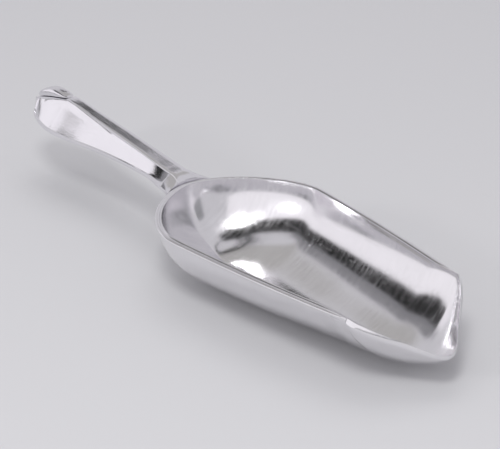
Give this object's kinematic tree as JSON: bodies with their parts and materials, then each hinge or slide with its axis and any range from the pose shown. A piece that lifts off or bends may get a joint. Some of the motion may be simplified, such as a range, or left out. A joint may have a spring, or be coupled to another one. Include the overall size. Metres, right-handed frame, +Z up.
{
  "type": "ice scoop",
  "caption": "Polished stainless ice scoop with a round-backed bowl, flat flange, oblique cut mouth and a tent-shaped handle",
  "frame": {"origin": "centre of the bounding box in plan, on the floor plane under the belly of the bowl", "axes": "+X runs from the handle's end to the mouth of the bowl, +Y to the far side, +Z up out of the open bowl"},
  "size_m": [0.2378, 0.07, 0.0373],
  "materials": {
    "bowl_steel": "polished",
    "handle_steel": "polished",
    "cap_steel": "polished"
  },
  "bodies": {
    "root": {"bowl": "bowl_steel", "handle": "handle_steel", "handle_end_cap": "cap_steel"}
  },
  "joints": []
}
